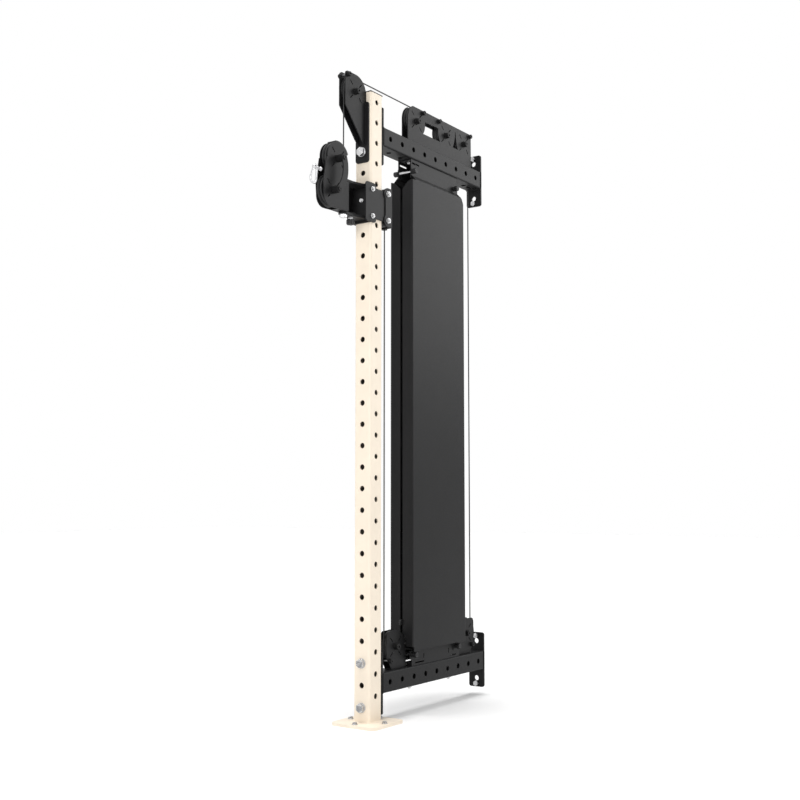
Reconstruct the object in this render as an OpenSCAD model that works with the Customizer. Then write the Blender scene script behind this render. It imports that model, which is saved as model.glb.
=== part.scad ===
/* [Upright] */
// Width of the square upright tube
post_w = 75; // [70:0.5:80]
// Wall of the square tubes
tube_t = 4; // [3:0.5:5]
// Height of the top of the upright tube
post_top = 2378; // [2360:1:2400]
// Width of the floor plate
foot_w = 200; // [180:5:240]
// Distance between neighbouring holes in the tubes
pitch = 80; // [80:1:80]
// Radius of the holes in the tubes
hole_r = 10.5; // [9:0.5:11]
// Radius of the two open anchor holes in each wall plate
wall_hole_r = 11; // [10:0.5:12]
// Height of those holes above and below the crossmember's middle
wall_hole_z = 78; // [76:0.5:79]

/* [Pulleys] */
// Radius of the cable's centre line round each pulley
wrap_r = 55.5; // [55.5:0.5:55.5]
// Radius of the pulley rim
rim_r = 60; // [59:0.5:60]
// Width of a pulley
sheave_w = 21; // [18:0.5:22]
// Radius of the cable
cable_r = 2.5; // [2:0.1:2.7]

/* [Stack] */
// Thickness of one weight plate
plate_t = 24.7; // [24:0.1:24.8]
// Width of one weight plate
plate_w = 92; // [80:1:96]
// Radius of the guide rods
rod_r = 10; // [9:0.5:10]
// Radius of the selector pin
pin_r = 4; // [3:0.5:4.4]

/* [Fits] */
// Running clearance on round fits
run = 0.05; // [0.02:0.01:0.1]
// Clearance between sliding pieces
slide = 0.3; // [0.2:0.05:0.5]

/* [Hidden] */
$fn = 64;
hw = post_w / 2;
beam_z = [143.5, 2223.5];
beam_y0 = hw + 8;
beam_y1 = 777;
front_ax = [-104, 2361];
rear_ax = [[306.5, 2361], [528.5, 2361], [671.5, 2361]];
low_f = [158, 265];
low_r = [671.5, 265];
mid_y = 414.75;
trav = [417.5, 767];
side_in = 11.5;
side_t = 4;
side_out = side_in + side_t;
wall_head = 19;
knob_r = 17;
boss_l = 16.5;
keep_l = 12;
beam_top = beam_z[1] + hw;
low_top = beam_z[0] + hw;
zc = 1943.5;
piv_y = -159.5;
head_u = [-215, 2072];
head_l = [-242, 1948];
head_in = 15;
head_out = 19;
stack_y = 417.5;
rods = [[16, 305.5], [-16, 529.5]];
base_z = 242;
stack_bolts = [271, 553];
stack_z0 = 262;
plate_p = 25;
resting = 3;
lifted = 13;
lift_z0 = stack_z0 + resting * plate_p;
top_z0 = stack_z0 + (resting + lifted) * plate_p;
cov_x = 53.5;
cov_t = 2;
cov_y0 = 218.5;
cov_y1 = 606;
tie_y = [247.5, 561];
tie_z = [225.5, 2134.5];
bkt_x = 31.5;
roll_r = 21.7;
roll_y = hw + roll_r + slide;
run_y = low_f[0] - wrap_r;
wall_y = rear_ax[2][0] + wrap_r;

// Plane and bar helpers
module xp(x0, t) translate([x0, 0, 0]) rotate([90, 0, 90]) linear_extrude(t) children();
module yp(y0, t) translate([0, y0 + t, 0]) rotate([90, 0, 0]) linear_extrude(t) children();
module zp(z0, t) translate([0, 0, z0]) linear_extrude(t) children();
module both() { children(); mirror([1, 0, 0]) children(); }
module xc(y, z, x0, x1, r) translate([x0, y, z]) rotate([0, 90, 0]) cylinder(r = r, h = x1 - x0);
module yc(x, z, y0, y1, r) translate([x, y1, z]) rotate([90, 0, 0]) cylinder(r = r, h = y1 - y0);
module zc_(x, y, z0, z1, r) translate([x, y, z0]) cylinder(r = r, h = z1 - z0);
// Hexagon prisms by their width across flats
module hexagon(h, af) cylinder(r = af / 2 / cos(30), h = h, $fn = 6);
module hexx(y, z, x0, x1, af) translate([x0, y, z]) rotate([0, 90, 0]) hexagon(x1 - x0, af);
module hexy(x, z, y0, y1, af) translate([x, y1, z]) rotate([90, 0, 0]) hexagon(y1 - y0, af);
module hexz(x, y, z0, z1, af) translate([x, y, z0]) hexagon(z1 - z0, af);
// Domed end of a round head that points along X
module dome(y, z, x0, r) translate([x0, y, z]) rotate([0, 90, 0]) cylinder(r1 = r, r2 = r - 1.5, h = 1.5);
module rr(w, h, r) {
  square([w - 2 * r, h], center = true);
  square([w, h - 2 * r], center = true);
  for (x = [-1, 1], y = [-1, 1]) translate([x * (w / 2 - r), y * (h / 2 - r)]) circle(r);
}
module box2(x0, y0, x1, y1) translate([x0, y0]) square([x1 - x0, y1 - y0]);
module bar2(a, b, r) {
  d = norm(b - a);
  n = [-(b - a)[1], (b - a)[0]] / d * r;
  translate(a) circle(r);
  translate(b) circle(r);
  polygon([a + n, a - n, b - n, b + n]);
}
module arc(cy, cz, rad, a0, da, r) translate([0, cy, cz]) rotate([90, 0, 90]) rotate([0, 0, a0])
  rotate_extrude(angle = da) translate([rad, 0]) circle(r, $fn = 24);
// Four lightening slots that point at the axle
module slots4(c) for (s = [45:90:359]) translate(c) rotate(s) bar2([29.5, 0], [48, 0], 2);

// Square tube with a hole pattern on both pairs of faces
module tube2() difference() { rr(post_w, post_w, 9); rr(post_w - 2 * tube_t, post_w - 2 * tube_t, 5); }

module upright() color("ivory") difference() {
  zp(10, post_top - 10) tube2();
  for (i = [0:28]) xc(0, 103.5 + pitch * i, -hw - 1, hw + 1, hole_r);
  for (i = [0:28]) yc(0, 63.5 + pitch * i, -hw - 1, hw + 1, hole_r);
}
module base_plate() color("ivory") difference() {
  zp(0, 10) rr(foot_w, foot_w, 25);
  for (a = [0:90:359]) rotate(a) zc_(78, 0, -1, 11, 8.5);
}
module upright_cap() color("dimgray") {
  zp(post_top, 5) difference() { rr(post_w, post_w, 9); circle(4); }
  zp(post_top - 14, 14) rr(post_w - 2 * tube_t, post_w - 2 * tube_t, 5);
}

module beam_body(z, top) difference() {
  union() {
    translate([0, beam_y0, z]) rotate([-90, 0, 0]) linear_extrude(beam_y1 - beam_y0) difference() {
      rr(post_w, post_w, 6);
      rr(post_w - 2 * tube_t, post_w - 2 * tube_t, 3);
    }
    yp(hw, 8) translate([0, z]) rr(75, 228, 6);
    yp(beam_y1, 8) translate([0, z]) rr(72, 228, 10);
  }
  for (i = [0:8]) xc(91.25 + pitch * i, z, -hw - 1, hw + 1, hole_r);
  for (i = [0:7]) zc_(0, 131.25 + pitch * i, z - hw - 1, z + hw + 1, hole_r);
  for (s = [-pitch, pitch]) yc(0, z + s, hw - 1, hw + 9, hole_r);
  for (s = [-wall_hole_z, wall_hole_z]) yc(0, z + s, beam_y1 - 1, beam_y1 + 9, wall_hole_r);
  for (s = [-100, 100]) yc(0, z + s, beam_y1 - 1, beam_y1 + 9, 6);
  if (top) {
    for (y = [trav[0] - wrap_r, trav[0] + wrap_r, wall_y]) zp(z - hw - 1, post_w + 2)
      bar2([0, y - 7], [0, y + 7], 7);
    for (c = rods) zc_(c[0], c[1], z - hw - 1, z - hw + 6, 6);
  }
  for (y = stack_bolts) zc_(0, y, z - hw - 1, top ? z : z + hw + 1, 6);
}
module lower_crossmember() color("dimgray") beam_body(beam_z[0], false);
module upper_crossmember() color("dimgray") beam_body(beam_z[1], true);

// Hexagon bolts with washers that join upright, brackets and crossmembers
module frame_bolt(z, yf) {
  yc(0, z, yf - 3, yf, 18.5);
  hexy(0, z, yf - 15.5, yf - 3, 30);
  yc(0, z, yf, hw + 8 + 3 + 16 + 5, 10);
  difference() { yc(0, z, hw + 8, hw + 11, 18.5); yc(0, z, hw + 7, hw + 12, 10); }
  difference() { hexy(0, z, hw + 11, hw + 27, 30); yc(0, z, hw + 10, hw + 28, 10); }
}
module frame_bolts() color("silver") {
  frame_bolt(63.5, -hw);
  frame_bolt(223.5, -hw);
  frame_bolt(2143.5, -hw - 8);
  yc(0, 2303.5, -hw - 8, hw + 8, 10);
  yc(0, 2303.5, hw + 8, hw + 11, 18.5);
  hexy(0, 2303.5, hw + 11, hw + 23.5, 30);
  for (z = beam_z, s = [-100, 100]) {
    yc(0, z + s, beam_y1 - 2.5, beam_y1, wall_head / 2);
    hexy(0, z + s, beam_y1 - 10.5, beam_y1 - 2.5, wall_head);
    yc(0, z + s, beam_y1, beam_y1 + 8, 6);
  }
}

// Side plate of the front bracket
module front_side2() difference() {
  union() {
    translate(front_ax) circle(65);
    translate([-153.5, 2411]) circle(15);
    polygon([[-168.5, 2295], [-168.5, 2411], [-153.5, 2411], [-153.5, 2426], [-104, 2426], [-104, 2361],
      [-39, 2361], [-39, 2340], [-hw - 8, 2340], [-hw - 8, 2165], [-70, 2185]]);
  }
  translate(front_ax) circle(6);
  translate([-153.4, 2412.5]) circle(3.5);
  slots4(front_ax);
}
module front_pulley_bracket() color("dimgray") {
  both() xp(side_in, side_t) front_side2();
  difference() {
    yp(-hw - 8, 8) translate([0, 2220.5]) rr(60, 235, 10);
    for (z = [2143.5, 2303.5]) yc(0, z, -hw - 9, -hw + 1, 10);
  }
}

// Side plate of the rear top block with its two windows
module rear_side2() difference() {
  intersection() {
    union() {
      translate(rear_ax[0]) circle(63.5);
      box2(rear_ax[0][0], beam_top, 722, 2418);
      box2(rear_ax[0][0], beam_top, 730, 2410);
      translate([722, 2410]) circle(8);
      box2(243, beam_top, rear_ax[0][0], 2361);
    }
    box2(200, 2200, 800, 2418);
  }
  difference() {
    box2(340, 2322, 495, 2376);
    for (i = [0, 1]) translate(rear_ax[i]) circle(61.5);
  }
  polygon([[581, 2325], [623, 2325], [613.5, 2343], [609, 2361], [606, 2380], [604.5, 2397], [602, 2397],
    [599, 2380], [595.5, 2361], [590, 2343]]);
  for (c = rear_ax) { translate(c) circle(6); slots4(c); }
  for (c = [[351.4, 2407.5], [472.2, 2406.7], [716.8, 2407]]) translate(c) circle(3.5);
}
module rear_pulley_block() color("dimgray") {
  both() xp(side_in, side_t) rear_side2();
  difference() {
    zp(beam_top, 4) box2(-side_in, 243, side_in, 712);
    for (y = [trav[0] - wrap_r, trav[0] + wrap_r]) zp(beam_top - 1, 6) bar2([0, y - 7], [0, y + 7], 7);
    for (y = [291.25, 611.25]) zc_(0, y, beam_top - 1, beam_top + 5, 6);
  }
}

// Low blocks: one outline, mirrored for the rear one
module low_side2() difference() {
  union() {
    translate(low_f) circle(61.5);
    translate([118, 307]) circle(18);
    polygon([[100, 229], [131, 181], [226, 181], [226, 235], [219.5, 265], [158, 265], [158, 325], [118, 325],
      [118, 307], [100, 307]]);
  }
  translate(low_f) circle(6);
  translate([118, 215]) circle(3.5);
  slots4(low_f);
}
module low_block() {
  both() xp(side_in, side_t) low_side2();
  difference() {
    zp(low_top, 4) box2(-side_in, 131, side_in, 226);
    zp(low_top - 1, 6) bar2([0, 211.25], [0, 2 * mid_y - 611.25], 6);
    zc_(0, 147, low_top - 1, low_top + 5, 6);
  }
}
module flip() translate([0, 2 * mid_y, 0]) mirror([0, 1, 0]) children();
module lower_front_block() color("dimgray") low_block();
module lower_rear_block() color("dimgray") flip() low_block();

// Cap screws that hold the blocks and the stack brackets to the crossmembers
module cap_screw(y, z, up, len) {
  d = up ? 1 : -1;
  h = [z, z + d * 7];
  zc_(0, y, min(h), max(h), 9);
  b = [z - d * len, z];
  zc_(0, y, min(b), max(b), 6);
}
module block_bolts() color("silver") {
  for (y = [291.25, 611.25]) cap_screw(y, beam_top + 4, true, 22);
  for (y = [211.25, 611.25]) cap_screw(y, low_top + 4, true, 22);
  for (y = stack_bolts) {
    zc_(0, y, beam_z[0] - hw - 15, low_top + 12, 6);
    hexz(0, y, low_top + 4, low_top + 12, 19);
    hexz(0, y, beam_z[0] - hw - 10, beam_z[0] - hw, 19);
  }
  for (y = stack_bolts) {
    zc_(0, y, beam_top - post_w - 12, beam_top - post_w + 14, 6);
    hexz(0, y, beam_top - post_w - 12, beam_top - post_w - 4, 19);
  }
}

// Round axle head with its washer and a hexagon socket
module axle_head(c, x0) difference() {
  union() {
    xc(c[0], c[1], x0, x0 + 2.5, 13.5);
    xc(c[0], c[1], x0 + 2, x0 + boss_l - 1.5, 12);
    dome(c[0], c[1], x0 + boss_l - 1.5, 12);
  }
  hexx(c[0], c[1], x0 + boss_l - 6, x0 + boss_l + 1, 10);
}
// One axle with a head on each side and two spacer tubes
module axle(c, inner, outer) {
  xc(c[0], c[1], -outer, outer, 6);
  both() axle_head(c, outer);
  both() difference() { xc(c[0], c[1], 4, inner, 9); xc(c[0], c[1], 3, inner + 1, 6); }
}
root_axles = [front_ax, rear_ax[0], rear_ax[1], rear_ax[2], low_f, low_r];
module pulley_axles() color("gray") for (c = root_axles) axle(c, side_in, side_out);
keepers = [[-153.4, 2412.5], [351.4, 2407.5], [472.2, 2406.7], [716.8, 2407], [118, 215], [711.5, 215]];
module cable_retainers() color("dimgray") for (c = keepers) {
  xc(c[0], c[1], -side_out, side_out, 3.5);
  both() {
    xc(c[0], c[1], side_out, side_out + keep_l - 1.5, 9);
    dome(c[0], c[1], side_out + keep_l - 1.5, 9);
  }
}
// Inner ring with its seals, on the axle
module ring_inner(c) translate([-4, c[0], c[1]]) rotate([0, 90, 0]) rotate_extrude()
  polygon([[6, 0], [11.5 - run, 0], [11.5 - run, 1], [8.5, 1], [8.5, 7], [11.5 - run, 7],
    [11.5 - run, 8], [6, 8]]);
module pulley_bearings() color("silver") for (c = root_axles) ring_inner(c);

// Grooved pulley with its outer bearing ring
module sheave(c) {
  w = sheave_w / 2;
  translate([0, c[0], c[1]]) rotate([0, 90, 0]) {
    color("black") rotate_extrude() difference() {
      polygon([[14, -w], [22, -w], [24, -4.5], [43, -4.5], [46, -w], [rim_r, -w], [rim_r, w], [46, w],
        [43, 4.5], [24, 4.5], [22, w], [14, w]]);
      translate([wrap_r + 0.1, 0]) circle(cable_r + 0.4);
      polygon([[wrap_r, -2.9], [rim_r + 1, -7], [rim_r + 1, 7], [wrap_r, 2.9]]);
    }
    color("silver") translate([0, 0, -4]) difference() {
      cylinder(r = 14, h = 8);
      translate([0, 0, -1]) cylinder(r = 11.5, h = 10);
    }
  }
}
module front_pulley() sheave(front_ax);
module rear_pulley_1() sheave(rear_ax[0]);
module rear_pulley_2() sheave(rear_ax[1]);
module rear_pulley_3() sheave(rear_ax[2]);
module low_front_pulley() sheave(low_f);
module low_rear_pulley() sheave(low_r);
module travelling_pulley() sheave(trav);
module upper_head_pulley() sheave(head_u);
module lower_head_pulley() sheave(head_l);

// Inverted channel that holds the guide rods and covers at the top
module stack_top_bracket() color("dimgray") difference() {
  union() {
    zp(2182, 4) box2(-bkt_x, 241, bkt_x, 587);
    both() xp(bkt_x - 4, 4) difference() {
      union() { box2(241, 2113, 587, 2186); bar2([249, 2113], [579, 2113], 8); }
      bar2([252, 2170], [294.5, 2170], 4);
      translate([250, 2120]) circle(4);
    }
  }
  for (y = tie_y) xc(y, tie_z[1], -40, 40, 6);
  for (c = rods) zc_(c[0], c[1], 2181, 2187, 6);
  for (y = [trav[0] - wrap_r, trav[0] + wrap_r]) zp(2181, 6) bar2([0, y - 7], [0, y + 7], 7);
  for (y = stack_bolts) zc_(0, y, 2181, 2187, 6);
}
// Channel with the stack's base plate on top
module stack_base_bracket() color("dimgray") difference() {
  union() {
    zp(low_top, 4) box2(-bkt_x, 243, bkt_x, 588);
    both() xp(bkt_x - 4, 4) difference() {
      box2(243, low_top, 588, base_z);
      for (y = [326.6, 508]) bar2([y, 205.5], [y, 220.5], 2.5);
      bar2([268.5, 192], [327.5, 192], 2.5);
      bar2([522.5, 192], [560.5, 192], 2.5);
    }
    zp(base_z, 8) translate([0, stack_y]) rr(plate_w, 341, 4);
  }
  for (y = tie_y) xc(y, tie_z[0], -40, 40, 6);
  for (c = rods) zc_(c[0], c[1], base_z - 1, base_z + 9, 6);
  for (y = stack_bolts) zc_(0, y, low_top - 1, low_top + 5, 6);
}
module guide_rods() for (c = rods) {
  color("lightgray") zc_(c[0], c[1], base_z + 8, 2182, rod_r);
  color("lightgray") zc_(c[0], c[1], 2182, 2192, 6);
  color("lightgray") zc_(c[0], c[1], base_z - 13, base_z + 8, 6);
  color("gray") difference() { hexz(c[0], c[1], base_z - 9, base_z, 19); zc_(c[0], c[1], 220, 252, 6); }
}
module tie_rods() color("silver") for (y = tie_y, z = tie_z) xc(y, z, -cov_x + 2, cov_x - 2, 6);
module tie_knobs() color("black") for (y = tie_y, z = tie_z) both() difference() {
  xc(y, z, bkt_x + cov_t, 54, 11);
  xc(y, z, 30, cov_x - 2, 6);
}
module stack_bumpers() color("black") for (c = rods) difference() {
  zc_(c[0], c[1], base_z + 8, stack_z0, 20);
  zc_(c[0], c[1], base_z + 7, stack_z0 + 1, rod_r);
}

// Right half of the folded stack cover
module cover_half() difference() {
  union() {
    zp(243, 2095 - 243) difference() {
      union() {
        box2(5.5, cov_y0, cov_x - 5, cov_y1);
        box2(cov_x - 6, cov_y0 + 5, cov_x, cov_y1 - 5);
        for (y = [cov_y0 + 5, cov_y1 - 5]) translate([cov_x - 5, y]) circle(5);
      }
      box2(0, cov_y0 + cov_t, cov_x - 5, cov_y1 - cov_t);
      box2(0, cov_y0 + 5, cov_x - cov_t, cov_y1 - 5);
      for (y = [cov_y0 + 5, cov_y1 - 5]) translate([cov_x - 5, y]) circle(3);
      box2(0, cov_y1 - 5, 28, cov_y1 + 1);
    }
    yp(241, 346) polygon([[cov_x, 2095], [cov_x, 2098], [bkt_x + cov_t, 2118], [bkt_x + cov_t, 2150],
      [bkt_x, 2150], [bkt_x, 2117], [cov_x - cov_t, 2097], [cov_x - cov_t, 2095]]);
    for (y = tie_y) yp(y - 20, 40) polygon([[cov_x, 243], [cov_x, 240.8], [cov_x - 1.5, 239.3],
      [bkt_x + cov_t, 239.3], [bkt_x + cov_t, 208], [bkt_x, 208], [bkt_x, 241.3], [cov_x - cov_t, 241.3],
      [cov_x - cov_t, 243]]);
  }
  yp(cov_y0 - 1, 4) polygon([[0, 2062], [5.5, 2062], [33, 2090], [47, 2094], [60, 2094],
    [60, 2100], [0, 2100]]);
  yp(cov_y0 - 1, 4) box2(0, 240, 20, 300);
  xp(0, 60) polygon([[589, 2110], [589, 2097], [606.5, 2066], [612, 2066], [612, 2110]]);
  xp(0, 60) polygon([[210, 238], [227.5, 238], [227.5, 256], [222, 258], [210, 258]]);
  for (y = tie_y, z = tie_z) xc(y, z, 20, 45, 6);
}
module right_cover() color("dimgray") cover_half();
module left_cover() color("dimgray") mirror([1, 0, 0]) cover_half();

// Cable runs that keep their place while the machine works
module cable_routing() color("black") {
  arc(front_ax[0], front_ax[1], wrap_r, 90, 90, cable_r);
  yc(0, front_ax[1] + wrap_r, front_ax[0], rear_ax[0][0], cable_r);
  arc(rear_ax[0][0], rear_ax[0][1], wrap_r, 0, 90, cable_r);
  arc(rear_ax[1][0], rear_ax[1][1], wrap_r, 90, 90, cable_r);
  yc(0, rear_ax[1][1] + wrap_r, rear_ax[1][0], rear_ax[2][0], cable_r);
  arc(rear_ax[2][0], rear_ax[2][1], wrap_r, 0, 90, cable_r);
  zc_(0, wall_y, low_r[1], rear_ax[2][1], cable_r);
  arc(low_r[0], low_r[1], wrap_r, 270, 90, cable_r);
  yc(0, low_f[1] - wrap_r, low_f[0], low_r[0], cable_r);
  arc(low_f[0], low_f[1], wrap_r, 180, 90, cable_r);
}
module front_cable_run() color("black") zc_(0, piv_y, head_u[1], front_ax[1], cable_r);
module lift_cable_run() color("black") zc_(0, run_y, low_f[1], zc - 73, cable_r);
module stack_cable_runs() color("black") for (s = [-1, 1])
  zc_(0, trav[0] + s * wrap_r, trav[1], rear_ax[0][1], cable_r);

// Weight plate with rod bores, stem bore and pin bore
module weight_plate(z) difference() {
  zp(z, plate_t) translate([0, stack_y]) rr(plate_w, 340, 5);
  for (c = rods) zc_(c[0], c[1], z - 1, z + plate_t + 1, rod_r + slide);
  zc_(0, stack_y, z - 1, z + plate_t + 1, 13);
  yc(0, z + plate_t / 2, stack_y - 180, stack_y, pin_r + 0.5);
}
module resting_plates() color("dimgray") for (i = [0:resting - 1]) weight_plate(stack_z0 + plate_p * i);
module lifted_plates() color("dimgray") for (i = [0:lifted - 1]) weight_plate(lift_z0 + plate_p * i);
module top_plate() color("dimgray") difference() {
  zp(top_z0, 30) translate([0, stack_y]) rr(plate_w, 340, 5);
  for (c = rods) zc_(c[0], c[1], top_z0 - 1, top_z0 + 31, rod_r + slide);
  zc_(0, stack_y, top_z0 - 1, top_z0 + 31, 12.5);
}
module selector_stem() color("silver") difference() {
  zc_(0, stack_y, stack_z0 + 3, top_z0 + 30, 12.5);
  for (i = [0:resting + lifted - 1])
    yc(0, stack_z0 + plate_p * i + plate_t / 2, stack_y - 20, stack_y + 20, pin_r + 0.5);
}
module lift_clevis() color("dimgray") {
  both() xp(side_in, side_t) difference() {
    bar2([stack_y, top_z0 + 58], trav, 28);
    box2(stack_y - 40, top_z0 - 20, stack_y + 40, top_z0 + 30);
    translate(trav) circle(6);
  }
  color("gray") axle(trav, side_in, side_out);
  color("silver") ring_inner(trav);
  both() difference() {
    zp(top_z0 + 30, 6) box2(side_out, stack_y - 30, 40, stack_y + 30);
    for (s = [-18, 18]) zc_(29, stack_y + s, top_z0 + 29, top_z0 + 37, 5);
  }
  color("silver") both() for (s = [-18, 18]) {
    zc_(29, stack_y + s, top_z0 + 30, top_z0 + 36, 5);
    hexz(29, stack_y + s, top_z0 + 36, top_z0 + 42, 16);
  }
}
module lift_cable_wrap() color("black") arc(trav[0], trav[1], wrap_r, 180, 180, cable_r);
pin_z = lift_z0 + plate_t / 2;
module selector_pin() {
  color("silver") yc(0, pin_z, cov_y0 + 1, stack_y + 12, pin_r);
  color("black") difference() {
    xp(-4.5, 9) bar2([cov_y0 - 2, pin_z], [cov_y0 + 14, pin_z], 11);
    yc(0, pin_z, cov_y0 + 1, stack_y, pin_r);
  }
}

// Side plate of the trolley's front channel
module trolley_side2() difference() {
  union() {
    translate([-45.5, zc]) rr(65, 151, 12);
    box2(-20, zc - 59, 60, zc + 59);
    for (s = [-52, 52]) translate([roll_y, zc + s]) circle(20.5);
    box2(roll_y, zc - 52, 80, zc + 52);
  }
  for (s = [-52, 52]) { translate([roll_y, zc + s]) circle(6); translate([-36, zc + s]) circle(4); }
}
module tongue2() difference() {
  union() {
    translate([0, piv_y]) circle(18);
    polygon([[-18, piv_y], [18, piv_y], [18, -122], [36, -46.5], [-36, -46.5], [-18, -122]]);
  }
  translate([0, piv_y]) circle(8);
}
module trolley_frame() color("dimgray") difference() {
  union() {
    both() xp(40.5, 4) trolley_side2();
    yp(-46.5, 4) translate([0, zc]) box2(-40.5, -75.5, 40.5, 75.5);
    zp(2001.5, 8) tongue2();
    zp(1877.5, 8) tongue2();
  }
  xc(0, zc, -50, -40, 11);
  zc_(0, -114, 1870, 1890, 6);
  yc(0, 1955, -50, -42, 5);
}
module rear_side_t2() difference() {
  union() {
    for (s = [-52, 52]) translate([roll_y, zc + s]) circle(24);
    box2(44, zc - 60, 86, zc + 60);
    box2(roll_y, zc - 76, 86, zc + 76);
  }
  for (s = [-52, 52]) translate([roll_y, zc + s]) circle(6);
}
module trolley_rear_bracket() color("dimgray") {
  both() xp(44.5, 4) rear_side_t2();
  difference() { yp(82, 4) translate([0, zc]) box2(-44.5, -76, 44.5, 76); yc(0, zc, 81, 87, 12); }
  difference() {
    zp(zc - 73, 15) union() { box2(-11, 86, 11, run_y); translate([0, run_y]) circle(11); }
    zc_(0, run_y, zc - 66, zc - 50, 5);
  }
}
module trolley_liners() color("gray") difference() {
  union() {
    yp(-42.5, 42.5 - hw - slide) translate([0, zc]) box2(-40.5, -75, 40.5, 75);
    both() xp(hw + slide, 40.5 - hw - slide) translate([0, zc]) box2(-hw - slide, -58, 30, 58);
  }
  for (s = [-52, 52]) xc(-36, zc + s, -45, 45, 4);
  xc(0, zc, -45, -30, 11);
  yc(0, 1955, -45, -36, 5);
}
module trolley_bolts() color("silver") {
  for (s = [-52, 52]) {
    both() {
      xc(-36, zc + s, 38.2, 53, 4);
      xc(-36, zc + s, 44.5, 46, 9.5);
      hexx(-36, zc + s, 46, 51.5, 15);
    }
    xc(roll_y, zc + s, -57.5, 57.5, 6);
    both() difference() {
      union() { xc(roll_y, zc + s, 48.5, 50, 11); hexx(roll_y, zc + s, 50, 56, 19); }
      xc(roll_y, zc + s, 48, 57, 6);
    }
    both() difference() { xc(roll_y, zc + s, 38.5, 40.5, 9); xc(roll_y, zc + s, 38, 41, 6); }
  }
  yc(0, 1955, -46.5, -38.5, 5);
  hexy(0, 1955, -52.5, -46.5, 17);
  zc_(0, piv_y, 1866, 2021, 8);
  hexz(0, piv_y, 2009.5, 2021, 24);
  difference() { hexz(0, piv_y, 1864, 1877.5, 24); zc_(0, piv_y, 1863, 1878, 8); }
}
// Threaded bushes that guide the two spring plungers
module plunger_housings() color("silver") {
  difference() { xc(0, zc, -61.5, -37.8, 11); xc(0, zc, -67, -37, 9.5 + run); }
  difference() { hexx(0, zc, -54, -44.5, 32); xc(0, zc, -67, -37, 11); }
  difference() { zc_(0, -114, 1872, 1885.5, 6); zc_(0, -114, 1870, 1886, 3 + run); }
  difference() { hexz(0, -114, 1872, 1877.5, 17); zc_(0, -114, 1870, 1886, 6); }
}
module roller(s) color("dimgray") difference() {
  xc(roll_y, zc + s, -38, 38, roll_r);
  xc(roll_y, zc + s, -39, 39, 6 + run);
}
module upper_roller() roller(52);
module lower_roller() roller(-52);
module lock_pin() color("black") {
  xc(0, zc, -72, -38.2, 9.5);
  xc(0, zc, -96, -72, 15);
}
module index_pin() color("black") {
  zc_(0, -114, 1860, 1885.2, 3);
  difference() {
    union() {
      zc_(0, -114, 1850, 1866, knob_r);
      translate([0, -114, 1848]) cylinder(r1 = knob_r - 3, r2 = knob_r, h = 2);
    }
    for (a = [0:60:359]) rotate_about([0, -114], a) zc_(knob_r + 3, -114, 1847, 1867, 6);
  }
}
module rotate_about(c, a) translate([c[0], c[1], 0]) rotate(a) translate([-c[0], -c[1], 0]) children();

// Side plate of the swivel head, the part's most worked outline
module head_side2() difference() {
  union() {
    translate(head_u) circle(62);
    bar2([-256, 1924], [-256, 1924.01], 40);
    polygon([[-281, 2064], [-300, 1970], [-295.8, 1925], [-274, 1893], [-246, 1884], [-212, 1886],
      [-212, 1891], [-150, 1891], [-150, 1999], [-166, 2024], [-166, 2100], [-215, 2072]]);
  }
  box2(-166, 2024, -130, 2098);
  box2(-180, 1999, -130, 2024.01);
  box2(-212, 1870, -140, 1891);
  translate(head_u) circle(6);
  translate(head_l) circle(6);
  slots4(head_u);
  for (s = [45, 135, 225]) translate(head_l) rotate(s) bar2([29.5, 0], [s == 225 ? 42 : 48, 0], 2);
}
module head_plates() color("dimgray") both() xp(head_in, 4) head_side2();
// Swivel tube with the index sector under it
module head_pivot() color("dimgray") difference() {
  union() {
    zc_(0, piv_y, 1886, 2001, head_in);
    zp(1900, 90) box2(-head_in, -178, head_in, piv_y);
    zp(1886, 5) {
      box2(-head_out, -211.5, head_out, piv_y);
      translate([0, piv_y]) circle(head_out);
      intersection() {
        translate([0, piv_y]) circle(53);
        polygon([[0, piv_y], [24, piv_y + 58], [-24, piv_y + 58]]);
      }
    }
  }
  zc_(0, piv_y, 1880, 2005, 8 + run);
  for (a = [-15:15:15]) rotate_about([0, piv_y], a) zc_(0, piv_y + 45.5, 1880, 1895, 3.3);
}
bow_c = [-325.7, 2031.2];
bow_r = norm(head_u - bow_c);
module head_handle() color("dimgray") {
  for (c = [head_u, head_l]) difference() {
    xc(c[0], c[1], head_out, 46, 14);
    xc(c[0], c[1], head_out - 1, 30, 6);
  }
  xp(46, 4) {
    difference() {
      translate(bow_c) circle(bow_r + 14.5, $fn = 180);
      translate(bow_c) circle(bow_r - 14.5, $fn = 180);
      polygon([bow_c, head_u, head_u + (head_u - bow_c), bow_c + [0, 400], bow_c + [-400, 400],
        bow_c + [-400, -400], bow_c + [0, -400], head_l + (head_l - bow_c), head_l]);
    }
    for (c = [head_u, head_l]) translate(c) circle(14.5);
  }
  for (c = [head_u, head_l]) difference() { xc(c[0], c[1], 50, 53, 9); hexx(c[0], c[1], 51, 54, 6); }
}
module cable_keeper() color("black") difference() {
  translate([-head_out, head_u[0], head_u[1]]) rotate([90, 0, 90]) rotate([0, 0, 27])
    rotate_extrude(angle = 77) translate([62, 0]) square([4.5, 2 * head_out]);
  zc_(0, piv_y, 2060, 2160, 6);
}
module head_axles() color("gray") for (c = [head_u, head_l]) {
  xc(c[0], c[1], -head_out, 30, 6);
  mirror([1, 0, 0]) axle_head(c, head_out);
  both() difference() { xc(c[0], c[1], 4, head_in, 9); xc(c[0], c[1], 3, head_in + 1, 6); }
  color("silver") ring_inner(c);
}
module head_cable() color("black") {
  arc(head_u[0], head_u[1], wrap_r, 270, 90, cable_r);
  yc(0, head_u[1] - wrap_r, -283.7, head_u[0], cable_r);
}

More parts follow.
